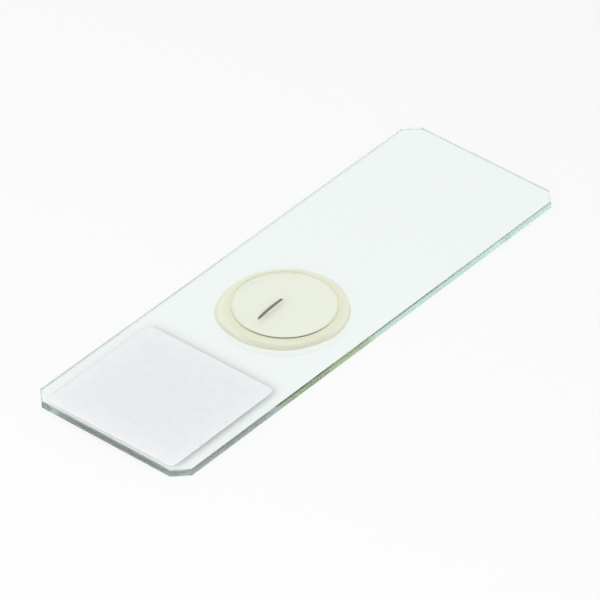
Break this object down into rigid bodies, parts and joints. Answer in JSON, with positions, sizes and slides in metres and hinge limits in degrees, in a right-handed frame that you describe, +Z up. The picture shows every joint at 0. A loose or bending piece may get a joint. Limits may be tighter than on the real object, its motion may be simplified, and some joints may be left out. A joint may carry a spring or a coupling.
{
  "type": "microscope slide",
  "caption": "Prepared microscope slide: clipped-corner glass with ground edges, a stained section sealed in resin under a round cover glass, and a blank paper label at one end.",
  "frame": {"origin": "middle of the underside of the glass, at the height of the surface that it lies on", "axes": "+X along the slide from the label end to the clear end, +Y across it, +Z up through the face that carries the label and the cover glass"},
  "size_m": [0.0762, 0.0254, 0.0014],
  "materials": {
    "slide_glass": "clear polished faces, satin ground edges, blue-green when seen through an edge",
    "mounting_resin": "clear, faintly yellow-green, glossy cured resin",
    "stained_tissue": "dark brown stained plant tissue",
    "cover_glass": "clear, thin, cut rim",
    "label_paper": "plain white matt paper"
  },
  "bodies": {
    "root": {"glass_slide": "slide_glass", "mounting_medium": "mounting_resin", "specimen": "stained_tissue", "cover_glass": "cover_glass", "paper_label": "label_paper"}
  },
  "joints": []
}
